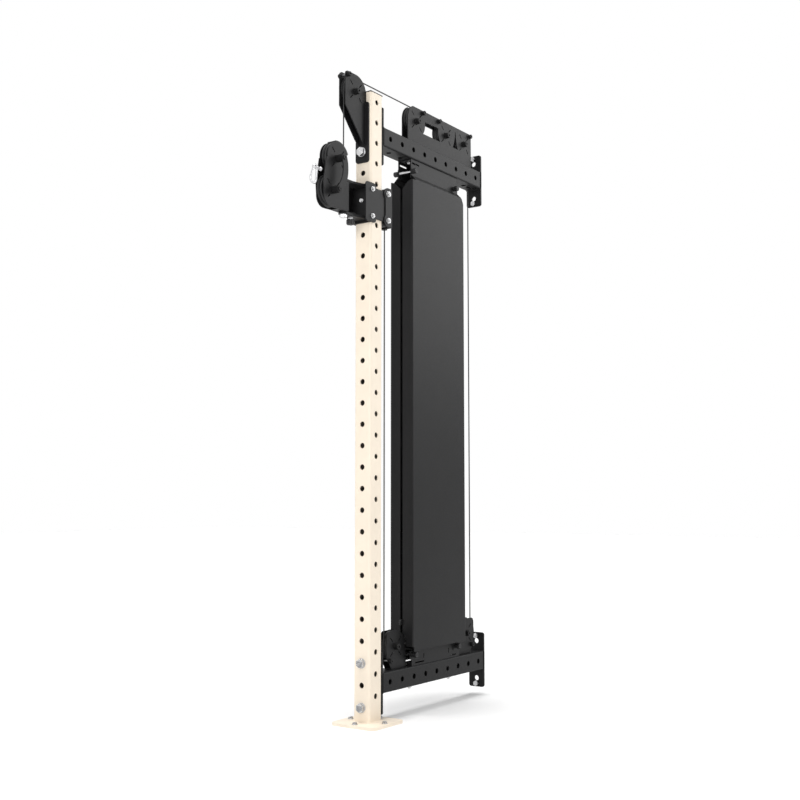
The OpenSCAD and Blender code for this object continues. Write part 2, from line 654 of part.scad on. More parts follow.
// Cable end with stop ball, swaged sleeve and eye
exit_z = head_u[1] - wrap_r;
eye_r = 9.2;
eye_t = 2.2;
eye_y = -315 + eye_r - eye_t - 4.3 - 0.25;
stop_y = -292.5;
module cable_end() {
  color("black") translate([0, stop_y, exit_z]) sphere(r = 8.5, $fn = 48);
  color("silver") yc(0, exit_z, eye_y + eye_r - 0.5, stop_y, 4.5);
  color("silver") translate([0, eye_y, exit_z]) rotate_extrude()
    translate([eye_r, 0]) circle(eye_t, $fn = 24);
}
// Snap hook: bent wire, with its gate on the outer side
cb_t = [-325, 2016];
cb_b = [-335, 1972.5];
cb_ra = 10;
cb_rb = 15.5;
cb_d = norm(cb_b - cb_t);
cb_u = atan2((cb_b - cb_t)[1], (cb_b - cb_t)[0]);
cb_f = 90 + asin((cb_rb - cb_ra) / cb_d);
function ray(c, a, r) = c + r * [cos(a), sin(a)];
module wire(a, b, r) {
  d = b - a;
  translate([0, a[0], a[1]]) rotate([atan2(d[1], d[0]) - 90, 0, 0]) cylinder(r = r, h = norm(d));
}
gate_lo = ray(cb_b, cb_u - cb_f, cb_rb);
gate_hi = ray(cb_t, cb_u - cb_f, cb_ra);
module carabiner() color("silver") {
  arc(cb_t[0], cb_t[1], cb_ra, cb_u + cb_f, 360 - 2 * cb_f, 4);
  arc(cb_b[0], cb_b[1], cb_rb, cb_u - cb_f, 2 * cb_f, 4);
  sp_lo = ray(cb_b, cb_u + cb_f, cb_rb);
  sp_hi = ray(cb_t, cb_u + cb_f, cb_ra);
  lap = (sp_hi - sp_lo) * 0.03;
  wire(sp_lo - lap, sp_hi + lap, 4.3);
  wire(gate_lo - lap, gate_lo + (gate_hi - gate_lo) * 0.12, 4.3);
  wire(gate_hi + lap, gate_hi + (gate_lo - gate_hi) * 0.1, 4.3);
}
gate_pin = gate_lo + (gate_hi - gate_lo) * (0.12 + 3.7 / norm(gate_hi - gate_lo));
module carabiner_gate() color("silver") {
  wire(gate_pin, gate_lo + (gate_hi - gate_lo) * 0.885, 3.2);
  translate([0, gate_pin[0], gate_pin[1]]) sphere(r = 3.3, $fn = 32);
}

upright();
base_plate();
upright_cap();
lower_crossmember();
upper_crossmember();
frame_bolts();
front_pulley_bracket();
rear_pulley_block();
lower_front_block();
lower_rear_block();
block_bolts();
pulley_axles();
cable_retainers();
pulley_bearings();
stack_top_bracket();
stack_base_bracket();
guide_rods();
tie_rods();
tie_knobs();
stack_bumpers();
right_cover();
left_cover();
cable_routing();
front_cable_run();
lift_cable_run();
stack_cable_runs();
resting_plates();
front_pulley();
rear_pulley_1();
rear_pulley_2();
rear_pulley_3();
low_front_pulley();
low_rear_pulley();
travelling_pulley();
trolley_frame();
trolley_rear_bracket();
trolley_liners();
trolley_bolts();
plunger_housings();
upper_roller();
lower_roller();
lock_pin();
index_pin();
head_plates();
head_pivot();
head_handle();
cable_keeper();
head_axles();
head_cable();
upper_head_pulley();
lower_head_pulley();
top_plate();
selector_stem();
lift_clevis();
lift_cable_wrap();
lifted_plates();
selector_pin();
cable_end();
carabiner();
carabiner_gate();
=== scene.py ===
"""Wall pulley column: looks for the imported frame, laid out as an add-on and run as a script."""

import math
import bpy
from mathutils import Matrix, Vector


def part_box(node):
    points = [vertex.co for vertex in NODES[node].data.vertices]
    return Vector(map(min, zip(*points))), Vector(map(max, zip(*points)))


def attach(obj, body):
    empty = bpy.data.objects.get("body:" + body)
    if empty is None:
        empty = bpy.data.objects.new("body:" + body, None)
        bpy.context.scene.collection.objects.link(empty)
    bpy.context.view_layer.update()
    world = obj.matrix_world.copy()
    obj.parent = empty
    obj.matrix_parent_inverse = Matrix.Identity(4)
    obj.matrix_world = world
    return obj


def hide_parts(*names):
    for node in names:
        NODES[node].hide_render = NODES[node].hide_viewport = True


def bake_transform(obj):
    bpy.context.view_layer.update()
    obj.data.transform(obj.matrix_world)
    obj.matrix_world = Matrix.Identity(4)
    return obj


bl_info = {
    "name": "Wall Pulley Column",
    "version": (1, 0, 0),
    "blender": (4, 5, 0),
    "location": "View3D > Sidebar > Pulley Column",
    "description": "Dresses the packed wall pulley column with finishes, fasteners, cables and knobs",
    "category": "Object",
}

import bmesh
import bpy
from mathutils import Vector

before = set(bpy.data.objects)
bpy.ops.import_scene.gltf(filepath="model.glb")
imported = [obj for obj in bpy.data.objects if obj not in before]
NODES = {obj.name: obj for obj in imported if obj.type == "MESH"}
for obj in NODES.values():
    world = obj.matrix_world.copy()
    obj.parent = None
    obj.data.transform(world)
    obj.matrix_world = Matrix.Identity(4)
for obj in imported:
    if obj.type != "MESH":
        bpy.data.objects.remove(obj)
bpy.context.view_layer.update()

# Centres of the pulleys as (Y, Z), and the radius of the cable's centre line round them
FRONT = (-0.104, 2.361)
REAR_1, REAR_2, REAR_3 = (0.3065, 2.361), (0.5285, 2.361), (0.6715, 2.361)
LOW_FRONT, LOW_REAR = (0.158, 0.265), (0.6715, 0.265)
HEAD_TOP, HEAD_LOW = (-0.215, 2.072), (-0.242, 1.948)
TRAVELLING = (0.4175, 0.767)
WRAP = 0.0555

# Bolts that keep the cable in its groove, as (Y, Z)
KEEPERS = ((-0.1534, 2.4125), (0.3514, 2.4075), (0.4722, 2.4067), (0.7168, 2.407), (0.118, 0.215),
           (0.7115, 0.215))

# Faces and heights that the fasteners start from
POST_HALF = 0.0375
END_PLATE = 0.0455
WALL_PLATE = 0.777
CROSSMEMBERS = (0.1435, 2.2235)
TIE_ROWS, TIE_HEIGHTS = (0.2475, 0.561), (0.2255, 2.1345)
STACK_BOLTS = (0.271, 0.553)
TROLLEY = 1.9435
ROLLER_HEIGHTS, ROLLER_Y = (1.8915, 1.9955), 0.0595
PIVOT_Y = FRONT[0] - WRAP
CABLE_CLAMP = 1.8705
CABLE_MOUTH = 2.0165


# Settings
class ColumnSizes(bpy.types.PropertyGroup):
    """Sizes of the pieces that are modelled here"""

    cable_radius: bpy.props.FloatProperty(
        name="Cable Radius", description="Outer radius of the coated cable", default=0.0025, unit="LENGTH"
    )
    bolt_flats: bpy.props.FloatProperty(
        name="Frame Bolt Flats", description="Width across flats of the frame bolts", default=0.030,
        unit="LENGTH"
    )
    washer_radius: bpy.props.FloatProperty(
        name="Washer Radius", description="Outer radius of the large washers", default=0.0185, unit="LENGTH"
    )
    knob_radius: bpy.props.FloatProperty(
        name="Knob Radius", description="Radius of the index knob over its lobes", default=0.017,
        unit="LENGTH"
    )
    weld_radius: bpy.props.FloatProperty(
        name="Weld Radius", description="Half width of the weld beads", default=0.003, unit="LENGTH"
    )


class ColumnColours(bpy.types.PropertyGroup):
    """Colours of the finishes"""

    ivory: bpy.props.FloatVectorProperty(
        name="Ivory", description="Powder coat of the upright", default=(0.93, 0.822, 0.68), subtype="COLOR"
    )
    black: bpy.props.FloatVectorProperty(
        name="Black", description="Powder coat of brackets and covers", default=(0.0120, 0.0120, 0.0125),
        subtype="COLOR"
    )
    zinc: bpy.props.FloatVectorProperty(
        name="Zinc", description="Plating of bolts and the hook", default=(0.62, 0.62, 0.63), subtype="COLOR"
    )
    nylon: bpy.props.FloatVectorProperty(
        name="Nylon", description="Moulded black plastic", default=(0.008, 0.008, 0.0085), subtype="COLOR"
    )


# Materials
def material(name, base, metallic=0.0, rough=0.5, coat=0.0, gloss=0.5):
    """New material with its tree, its shader and its coordinates, or the one that is there already"""
    m = bpy.data.materials.get(name)
    if m:
        return m, None, None, None
    m = bpy.data.materials.new(name)
    m.use_nodes = True
    nt = m.node_tree
    b = nt.nodes["Principled BSDF"]
    b.inputs["Base Color"].default_value = (*base, 1)
    b.inputs["Metallic"].default_value = metallic
    b.inputs["Roughness"].default_value = rough
    b.inputs["Coat Weight"].default_value = coat
    b.inputs["Specular IOR Level"].default_value = gloss
    coords = nt.nodes.new("ShaderNodeTexCoord")
    return m, nt, b, coords


def noise(nt, coords, scale, detail=2.0, stretch=None):
    """Noise on Object coordinates, drawn out along an axis where stretch is given"""
    n = nt.nodes.new("ShaderNodeTexNoise")
    n.inputs["Scale"].default_value = scale
    n.inputs["Detail"].default_value = detail
    if stretch:
        mp = nt.nodes.new("ShaderNodeMapping")
        mp.inputs["Scale"].default_value = stretch
        nt.links.new(coords.outputs["Object"], mp.inputs["Vector"])
        nt.links.new(mp.outputs["Vector"], n.inputs["Vector"])
    else:
        nt.links.new(coords.outputs["Object"], n.inputs["Vector"])
    return n


def mottled(nt, b, n, dark, light, low=0.35, high=0.65):
    """Base colour that wanders between dark and light"""
    ramp = nt.nodes.new("ShaderNodeValToRGB")
    ramp.color_ramp.elements[0].position = low
    ramp.color_ramp.elements[0].color = (*dark, 1)
    ramp.color_ramp.elements[1].position = high
    ramp.color_ramp.elements[1].color = (*light, 1)
    nt.links.new(n.outputs["Fac"], ramp.inputs["Fac"])
    nt.links.new(ramp.outputs["Color"], b.inputs["Base Color"])


def roughened(nt, b, n, low, high):
    """Roughness that wanders between low and high"""
    r = nt.nodes.new("ShaderNodeMapRange")
    r.inputs["To Min"].default_value = low
    r.inputs["To Max"].default_value = high
    nt.links.new(n.outputs["Fac"], r.inputs["Value"])
    nt.links.new(r.outputs["Result"], b.inputs["Roughness"])


def bumped(nt, b, n, strength, distance, edge=0.0):
    """Fine relief, over edges rounded by the radius edge"""
    bump = nt.nodes.new("ShaderNodeBump")
    bump.inputs["Strength"].default_value = strength
    bump.inputs["Distance"].default_value = distance
    nt.links.new(n.outputs["Fac"], bump.inputs["Height"])
    if edge:
        soft = nt.nodes.new("ShaderNodeBevel")
        soft.samples = 4
        soft.inputs["Radius"].default_value = edge
        nt.links.new(soft.outputs["Normal"], bump.inputs["Normal"])
    nt.links.new(bump.outputs["Normal"], b.inputs["Normal"])


def tint(c, k):
    """The colour, darker or lighter by the factor k"""
    return tuple(min(1.0, v * k) for v in c)


def calculated(nt, operation, *values):
    """Output of a math node on values that are sockets or numbers"""
    n = nt.nodes.new("ShaderNodeMath")
    n.operation = operation
    for socket, value in zip(n.inputs, values):
        if isinstance(value, bpy.types.NodeSocket):
            nt.links.new(value, socket)
        else:
            socket.default_value = value
    return n.outputs[0]


def painted_over(nt, b, factor, colour):
    """Lays colour over the base colour where the factor's socket says so"""
    mix = nt.nodes.new("ShaderNodeMix")
    mix.data_type = "RGBA"
    nt.links.new(factor, mix.inputs["Factor"])
    nt.links.new(b.inputs["Base Color"].links[0].from_socket, mix.inputs[6])
    mix.inputs[7].default_value = (*colour, 1)
    nt.links.new(mix.outputs[2], b.inputs["Base Color"])


def painted_shade_inside_tube(nt, b, c, reach, colour):
    """Painted shade inside the square tube: Object coordinates nearer the axis than reach take the dark
    colour
    """
    split = nt.nodes.new("ShaderNodeSeparateXYZ")
    nt.links.new(c.outputs["Object"], split.inputs[0])
    sides = [calculated(nt, "ABSOLUTE", split.outputs[axis]) for axis in "XY"]
    painted_over(nt, b, calculated(nt, "LESS_THAN", calculated(nt, "MAXIMUM", *sides), reach), colour)


def powder_coat(name, colour, rough=0.5, grain=0.3, edge=0.0008, gloss=0.5):
    """Sprayed and baked coat with a slight orange peel"""
    m, nt, b, c = material(name, colour, rough=rough, gloss=gloss)
    if nt:
        mottled(nt, b, noise(nt, c, 9, 3), tint(colour, 0.94), tint(colour, 1.04))
        roughened(nt, b, noise(nt, c, 160, 2), rough - 0.06, rough + 0.08)
        bumped(nt, b, noise(nt, c, 1400, 2), grain, 0.0002, edge)
    return m


def plated(name, colour, rough=0.28):
    """Zinc plating with a faint spangle, and a painted highlight along its edges"""
    m, nt, b, c = material(name, colour, metallic=1.0, rough=rough)
    if nt:
        mottled(nt, b, noise(nt, c, 260, 3), tint(colour, 0.82), tint(colour, 1.08))
        roughened(nt, b, noise(nt, c, 500, 2), rough - 0.08, rough + 0.12)
        bumped(nt, b, noise(nt, c, 900, 2), 0.12, 0.0002, 0.0005)
        # painted highlight: the edges are lightened towards near white
        painted_edge_highlight(nt, b, (0.92, 0.92, 0.92), 0.0012)
    return m


def painted_edge_highlight(nt, b, colour, reach):
    """Painted highlight: lightens the colour where the rounded normal leaves the face's own, along every
    edge
    """
    soft = nt.nodes.new("ShaderNodeBevel")
    soft.samples = 8
    soft.inputs["Radius"].default_value = reach
    own = nt.nodes.new("ShaderNodeNewGeometry")
    turn = nt.nodes.new("ShaderNodeVectorMath")
    turn.operation = "DOT_PRODUCT"
    nt.links.new(soft.outputs["Normal"], turn.inputs[0])
    nt.links.new(own.outputs["True Normal"], turn.inputs[1])
    edge = nt.nodes.new("ShaderNodeMapRange")
    edge.inputs["From Min"].default_value = 0.999
    edge.inputs["From Max"].default_value = 0.93
    nt.links.new(turn.outputs["Value"], edge.inputs["Value"])
    painted_over(nt, b, edge.outputs["Result"], colour)


def turned(name, colour, rough=0.22):
    """Bare metal with the marks of the lathe"""
    m, nt, b, c = material(name, colour, metallic=1.0, rough=rough)
    if nt:
        lines = noise(nt, c, 60, 3, stretch=(1, 1, 40))
        roughened(nt, b, lines, rough - 0.06, rough + 0.1)
        bumped(nt, b, lines, 0.08, 0.0001, 0.0004)
        mottled(nt, b, lines, tint(colour, 0.9), tint(colour, 1.05))
    return m


def moulded(name, colour, rough=0.45, grain=0.2, gloss=0.4):
    """Moulded plastic or rubber with a fine grain"""
    m, nt, b, c = material(name, colour, rough=rough, gloss=gloss)
    if nt:
        mottled(nt, b, noise(nt, c, 40, 3), tint(colour, 0.8), tint(colour, 1.2))
        roughened(nt, b, noise(nt, c, 220, 2), rough - 0.08, rough + 0.08)
        bumped(nt, b, noise(nt, c, 2200, 2), grain, 0.00015, 0.0005)
    return m


def rope(name, colour):
    """Plastic coat that shows the wire's twist"""
    m, nt, b, c = material(name, colour, rough=0.5, coat=0.05)
    if nt:
        w = nt.nodes.new("ShaderNodeTexWave")
        w.wave_type = "BANDS"
        w.bands_direction = "DIAGONAL"
        w.inputs["Scale"].default_value = 220
        w.inputs["Distortion"].default_value = 0.4
        nt.links.new(c.outputs["Object"], w.inputs["Vector"])
        mottled(nt, b, w, tint(colour, 0.75), tint(colour, 1.3), 0.2, 0.8)
        bumped(nt, b, w, 0.25, 0.0002)
    return m


# Modelling helpers
def nothing_selected():
    """Object mode with nothing selected"""
    if bpy.context.object and bpy.context.object.mode != "OBJECT":
        bpy.ops.object.mode_set(mode="OBJECT")
    bpy.ops.object.select_all(action="DESELECT")


def pick(o):
    """Selects the one object and makes it active"""
    nothing_selected()
    o.select_set(True)
    bpy.context.view_layer.objects.active = o


def settle(o, mat=None):
    """Place goes into the mesh, so the object sits at the origin"""
    pick(o)
    bpy.ops.object.transform_apply(location=True, rotation=True, scale=True)
    if mat:
        o.data.materials.clear()
        o.data.materials.append(mat)
    return o


def modifier(o, kind, **values):
    """Adds a modifier with its values and applies it"""
    pick(o)
    mod = o.modifiers.new(kind.title(), kind)
    for k, v in values.items():
        setattr(mod, k, v)
    bpy.ops.object.modifier_apply(modifier=mod.name)


def join(parts, name):
    """Makes one named object of the parts"""
    nothing_selected()
    for p in parts:
        p.select_set(True)
    bpy.context.view_layer.objects.active = parts[0]
    if len(parts) > 1:
        bpy.ops.object.join()
    o = bpy.context.view_layer.objects.active
    o.name = name
    o.data.name = name
    return o


def smooth(o, angle=35):
    """Smooth shading up to the angle between faces"""
    pick(o)
    bpy.ops.object.shade_smooth_by_angle(angle=math.radians(angle))


# Each way that a piece can point, as a direction and as the turn that takes +Z there
AIM_DIRECTION = {"X": Vector((1, 0, 0)), "-X": Vector((-1, 0, 0)), "Y": Vector((0, 1, 0)),
                 "-Y": Vector((0, -1, 0)), "Z": Vector((0, 0, 1)), "-Z": Vector((0, 0, -1))}
AIM = {"X": (0, math.pi / 2, 0), "-X": (0, -math.pi / 2, 0), "Y": (-math.pi / 2, 0, 0),
       "-Y": (math.pi / 2, 0, 0), "Z": (0, 0, 0), "-Z": (math.pi, 0, 0)}


def lathe(name, profile, at, aim="Z", steps=48, mat=None):
    """Turned piece: the profile's points (radius, height) are spun round the axis"""
    nothing_selected()
    bpy.ops.mesh.primitive_plane_add(size=1, location=(0, 0, 0))
    o = bpy.context.object
    bm = bmesh.new()
    vs = [bm.verts.new((r, 0, z)) for r, z in profile]
    for a, b in zip(vs, vs[1:]):
        bm.edges.new((a, b))
    bm.to_mesh(o.data)
    bm.free()
    bpy.ops.object.mode_set(mode="EDIT")
    bpy.ops.mesh.select_all(action="SELECT")
    bpy.ops.mesh.spin(steps=steps, angle=2 * math.pi, center=(0, 0, 0), axis=(0, 0, 1))
    bpy.ops.mesh.select_all(action="SELECT")
    bpy.ops.mesh.remove_doubles(threshold=1e-6)
    bpy.ops.mesh.normals_make_consistent(inside=False)
    bpy.ops.object.mode_set(mode="OBJECT")
    o.rotation_euler = AIM[aim]
    o.location = at
    o.name = name
    settle(o, mat)
    smooth(o, 32)
    return o


CHAMFER_ANGLE = math.radians(32)


def hex_prism(name, flats, height, at, aim="Z", mat=None, chamfer=0.08, face=None):
    """Hexagon head: a cylinder drawn out to six flats, with the turned chamfer's arcs on them"""
    nothing_selected()
    bpy.ops.mesh.primitive_cylinder_add(vertices=72, radius=flats / 2, depth=height,
                                        location=(0, 0, height / 2))
    o = bpy.context.object
    bpy.ops.object.mode_set(mode="EDIT")
    bm = bmesh.from_edit_mesh(o.data)
    for f in bm.faces:
        f.select = f.normal.z > 0.9
    bm.select_flush_mode()
    bmesh.update_edit_mesh(o.data)
    bpy.ops.mesh.inset(thickness=flats * chamfer / 2, depth=0)
    bpy.ops.object.mode_set(mode="OBJECT")
    inner = flats / 2 * (1 - chamfer)
    for v in o.data.vertices:
        rho = math.hypot(v.co.x, v.co.y)
        if rho > flats / 2 * (1 - chamfer / 2):
            a = math.atan2(v.co.y, v.co.x)
            side = (a + math.pi / 6) % (math.pi / 3) - math.pi / 6
            out = flats / 2 / math.cos(side)
            v.co.x, v.co.y = out * math.cos(a), out * math.sin(a)
            if v.co.z > 0:
                v.co.z -= (out - inner) * math.tan(CHAMFER_ANGLE)
    settle(o)
    o.rotation_euler = AIM[aim]
    o.location = at
    o.name = name
    settle(o, mat)
    # the end face takes the second material where one is given; on most bolts this is the darker zinc, as
    # painted shade
    if face:
        o.data.materials.append(face)
        for f in o.data.polygons:
            if f.normal.dot(AIM_DIRECTION[aim]) > 0.99:
                f.material_index = 1
    smooth(o, 25)
    return o


def tube(name, points, radius, mat, cyclic=False, resolution=6):
    """Round wire or cable along the given points"""
    cu = bpy.data.curves.new(name, "CURVE")
    cu.dimensions = "3D"
    cu.bevel_depth = radius
    cu.bevel_resolution = resolution
    cu.use_fill_caps = True
    sp = cu.splines.new("POLY")
    sp.points.add(len(points) - 1)
    for p, q in zip(sp.points, points):
        p.co = (*q, 1)
    sp.use_cyclic_u = cyclic
    sp.use_smooth = True
    o = bpy.data.objects.new(name, cu)
    bpy.context.scene.collection.objects.link(o)
    pick(o)
    bpy.ops.object.convert(target="MESH")
    o = bpy.context.object
    o.name = name
    o.data.materials.clear()
    o.data.materials.append(mat)
    smooth(o, 40)
    return o


def arc(centre, start, end, steps=24):
    """Points where the cable wraps a pulley, with angles in degrees from +Y towards +Z"""
    turns = [math.radians(start + (end - start) * i / steps) for i in range(steps + 1)]
    return [(0.0, centre[0] + WRAP * math.cos(a), centre[1] + WRAP * math.sin(a)) for a in turns]


def straight(y, start, end, steps=8):
    """Points up or down a straight run of cable"""
    return [(0, y, start + (end - start) * i / steps) for i in range(steps + 1)]


def upright_coat(colour):
    """Ivory powder coat, with painted shade on the inside of the tube where the holes show it"""
    m, nt, b, c = material("upright powder coat", colour, rough=0.48)
    if nt:
        mottled(nt, b, noise(nt, c, 9, 3), tint(colour, 0.97), tint(colour, 1.02))
        roughened(nt, b, noise(nt, c, 160, 2), 0.42, 0.56)
        bumped(nt, b, noise(nt, c, 1400, 2), 0.22, 0.0002, 0.0008)
        # painted shade: the inside of the tube is darkened to a dark brown
        painted_shade_inside_tube(nt, b, c, POST_HALF - 0.0037, (0.12, 0.105, 0.085))
    return m


def palette():
    """Every finish by its short name"""
    c = bpy.context.scene.column_colours
    return {
        "upright": upright_coat(tuple(c.ivory)),
        "ivory": powder_coat("ivory powder coat", tuple(c.ivory), 0.48, 0.22),
        "black": powder_coat("black powder coat", tuple(c.black), 0.42, 0.3, 0.0012, gloss=0.14),
        "enamel": powder_coat("plate enamel", tint(c.black, 0.8), 0.42, 0.2),
        "oxide": powder_coat("black oxide", tint(c.black, 0.7), 0.5, 0.15, 0.0007, 0.18),
        "zinc": plated("bright zinc", tuple(c.zinc)),
        "nylon": moulded("black nylon", tuple(c.nylon), 0.42),
        "dark plastic": moulded("dark cap plastic", tint(c.nylon, 1.4), 0.5),
        "rubber": moulded("stop rubber", tint(c.nylon, 1.1), 0.7, 0.35),
        "liner": moulded("liner nylon", tint(c.nylon, 2.6), 0.5),
        "bolt steel": plated("grey zinc", tint(c.zinc, 0.85), 0.3),
        # darker zinc for the bolts' end faces: painted shade standing for a darker reflection
        "bolt face": plated("darkened zinc, painted shade on bolt faces", tint(c.zinc, 0.48), 0.36),
        # dark steel; on the lower tie bars it stands for zinc in painted shade
        "dark steel": plated("blackened steel, also zinc in painted shade", (0.09, 0.09, 0.095), 0.4),
        "chrome": turned("chromed rod", (0.78, 0.79, 0.8), 0.12),
        "steel": turned("turned steel", (0.3, 0.3, 0.31), 0.34),
        "rope": rope("coated cable", tint(c.nylon, 0.8)),
    }


FINISH = {
    "upright": ["upright"],
    "ivory": ["base_plate"],
    "black": ["lower_crossmember", "upper_crossmember", "front_pulley_bracket", "rear_pulley_block",
              "lower_front_block", "lower_rear_block", "stack_top_bracket", "stack_base_bracket",
              "right_cover", "left_cover", "trolley_frame", "trolley_rear_bracket", "head_plates",
              "head_pivot", "head_handle", "lift_clevis"],
    "enamel": ["resting_plates", "lifted_plates", "top_plate"],
    "zinc": ["frame_bolts", "block_bolts", "trolley_bolts", "plunger_housings", "selector_pin", "cable_end",
             "carabiner", "carabiner_gate", "pulley_bearings"],
    "nylon": ["front_pulley", "rear_pulley_1", "rear_pulley_2", "rear_pulley_3", "low_front_pulley",
              "low_rear_pulley", "travelling_pulley", "upper_head_pulley", "lower_head_pulley"],
    "oxide": ["cable_retainers", "pulley_axles", "head_axles", "tie_rods"],
    "dark plastic": ["upright_cap", "tie_knobs", "lock_pin", "index_pin", "upper_roller",
                     "lower_roller", "cable_keeper"],
    "rubber": ["stack_bumpers"],
    "liner": ["trolley_liners"],
    "chrome": ["guide_rods"],
    "steel": ["selector_stem"],
    "rope": ["cable_routing", "front_cable_run", "lift_cable_run", "stack_cable_runs", "head_cable",
             "lift_cable_wrap"],
}


# Operators
class COLUMN_OT_finishes(bpy.types.Operator):
    """Gives every carried node its finish"""

    bl_idname = "column.finishes"
    bl_label = "Finishes"

    def execute(self, context):
        mats = palette()
        for key, names in FINISH.items():
            for n in names:
                o = NODES[n]
                o.data.materials.clear()
                o.data.materials.append(mats[key])
                smooth(o, 30)
        left = set(NODES) - {n for names in FINISH.values() for n in names}
        if left:
            raise RuntimeError(f"nodes with no finish: {sorted(left)}")
        return {"FINISHED"}


class COLUMN_OT_stage(bpy.types.Operator):
    """Makes the floor, the soft lights and the camera"""

    bl_idname = "column.stage"
    bl_label = "Stage"

    floor_lift = 0.03
    world_strength = 0.43

    def execute(self, context):
        sc = context.scene
        sc.view_settings.view_transform = "Standard"
        nothing_selected()
        bpy.ops.mesh.primitive_plane_add(size=40, location=(0, 0, 0))
        floor = context.object
        floor.name = "studio_floor"
        settle(floor, self.floor_paint())
        self.backdrop(sc)
        self.lamp("side_light", (2.6, 4.3, 3.5), (0.05, 0.4, 1.5), 3.6, 82)
        self.lamp("front_light", (1.6, -4.2, 2.6), (0, 0, 1.3), 2.4, 74)
        self.overhead()
        self.camera(sc)
        return {"FINISHED"}

    def floor_paint(self):
        """Plain white floor that the camera sees a little brighter, with the object's shadow kept"""
        m, nt, b, coords = material("studio floor", (0.95, 0.95, 0.95), rough=0.9, gloss=0.1)
        path = nt.nodes.new("ShaderNodeLightPath")
        seen = calculated(nt, "MAXIMUM", path.outputs["Is Camera Ray"], path.outputs["Is Glossy Ray"])
        b.inputs["Emission Color"].default_value = (1, 1, 1, 1)
        nt.links.new(calculated(nt, "MULTIPLY", seen, self.floor_lift), b.inputs["Emission Strength"])
        return m

    def backdrop(self, sc):
        """World that lights softly, and is white to the camera and in what shines"""
        sc.world = bpy.data.worlds.new("studio")
        sc.world.use_nodes = True
        nt = sc.world.node_tree
        soft = nt.nodes["Background"]
        white = nt.nodes.new("ShaderNodeBackground")
        for shade, strength in ((soft, self.world_strength), (white, 1.0)):
            shade.inputs["Color"].default_value = (1, 1, 1, 1)
            shade.inputs["Strength"].default_value = strength
        path = nt.nodes.new("ShaderNodeLightPath")
        seen = calculated(nt, "MAXIMUM", path.outputs["Is Camera Ray"], path.outputs["Is Transmission Ray"])
        seen = calculated(nt, "MAXIMUM", seen, path.outputs["Is Glossy Ray"])
        mix = nt.nodes.new("ShaderNodeMixShader")
        nt.links.new(seen, mix.inputs[0])
        nt.links.new(soft.outputs[0], mix.inputs[1])
        nt.links.new(white.outputs[0], mix.inputs[2])
        nt.links.new(mix.outputs[0], nt.nodes["World Output"].inputs["Surface"])

    def placed(self, name, data, at, turn):
        """Lamp or camera, turned as given"""
        o = bpy.data.objects.new(name, data)
        bpy.context.scene.collection.objects.link(o)
        o.location = at
        o.rotation_euler = turn
        return o

    def lamp(self, name, at, to, size, power):
        """Round soft lamp that points from one place to another"""
        d = bpy.data.lights.new(name, "AREA")
        d.shape = "DISK"
        d.size = size
        d.energy = power
        self.placed(name, d, at, (Vector(to) - Vector(at)).to_track_quat("-Z", "Y").to_euler())

    def overhead(self):
        """Broad light from almost straight above, for the faint shadow along the floor"""
        d = bpy.data.lights.new("overhead_light", "SUN")
        d.energy = 1.9
        d.angle = math.radians(22)
        self.placed("overhead_light", d, (0, 0, 5), (math.radians(4), math.radians(-3), 0))

    def camera(self, sc):
        """Camera of the photograph, solved for a square picture"""
        d = bpy.data.cameras.new("view_camera")
        d.sensor_width = 36
        d.lens = 50.0
        d.clip_end = 60
        sc.camera = self.placed("view_camera", d, (2.4924, -3.3582, 0.8312),
                                (math.radians(95.004), 0, math.radians(34.943)))


class COLUMN_OT_cables(bpy.types.Operator):
    """Makes the coated cable, run by run"""

    bl_idname = "column.cables"
    bl_label = "Cables"

    def execute(self, context):
        mat = palette()["rope"]
        r = context.scene.column_sizes.cable_radius
        top = tube("top_cable", arc(FRONT, 180, 90) + arc(REAR_1, 90, 0), r, mat)
        wall = tube("wall_cable", arc(REAR_2, 180, 90) + arc(REAR_3, 90, 0) + arc(LOW_REAR, 0, -90)
                    + arc(LOW_FRONT, 270, 180), r, mat)
        o = join([top, wall], "fixed_cable")
        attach(o, "frame")
        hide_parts("cable_routing")
        for name, node, y, z0, z1 in (("front_run", "front_cable_run", PIVOT_Y, FRONT[1], HEAD_TOP[1]),
                                      ("lift_run", "lift_cable_run", LOW_FRONT[0] - WRAP, LOW_FRONT[1],
                                       CABLE_CLAMP)):
            o = tube(name, straight(y, z0, z1), r, mat)
            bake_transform(o)
            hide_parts(node)
        mid, low = TRAVELLING
        parts = [tube("run", straight(y, REAR_1[1], low), r, mat) for y in (mid - WRAP, mid + WRAP)]
        o = join(parts, "stack_runs")
        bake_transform(o)
        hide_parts("stack_cable_runs")
        o = tube("lift_wrap", arc(TRAVELLING, 180, 360), r, mat)
        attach(o, "carriage")
        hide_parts("lift_cable_wrap")
        mouth = [(0, y, CABLE_MOUTH) for y in (-0.230, -0.245, -0.258, -0.268, -0.276, -0.284)]
        o = tube("head_run", arc(HEAD_TOP, 0, -90) + mouth, r, mat)
        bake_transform(o)
        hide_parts("head_cable")
        return {"FINISHED"}


def washer(at, way, inner, outer, thick, mat):
    """Flat ring with its outer edges broken"""
    e = min(0.0004, thick / 3)
    profile = [(inner, 0), (outer - e, 0), (outer, e), (outer, thick - e), (outer - e, thick),
               (inner, thick), (inner, 0)]
    return lathe("washer", profile, at, way, mat=mat)


def thread_end(at, way, radius, length, mat, turns=4):
    """Thread that stands out of a nut, with its chamfered end"""
    pitch = length / (turns + 1)
    profile = [(0.0, 0), (radius * 0.9, 0)]
    for i in range(turns):
        profile += [(radius, (i + 0.5) * pitch), (radius * 0.9, (i + 1) * pitch)]
    profile += [(radius * 0.78, length), (0.0, length)]
    return lathe("thread", profile, at, way, steps=32, mat=mat)


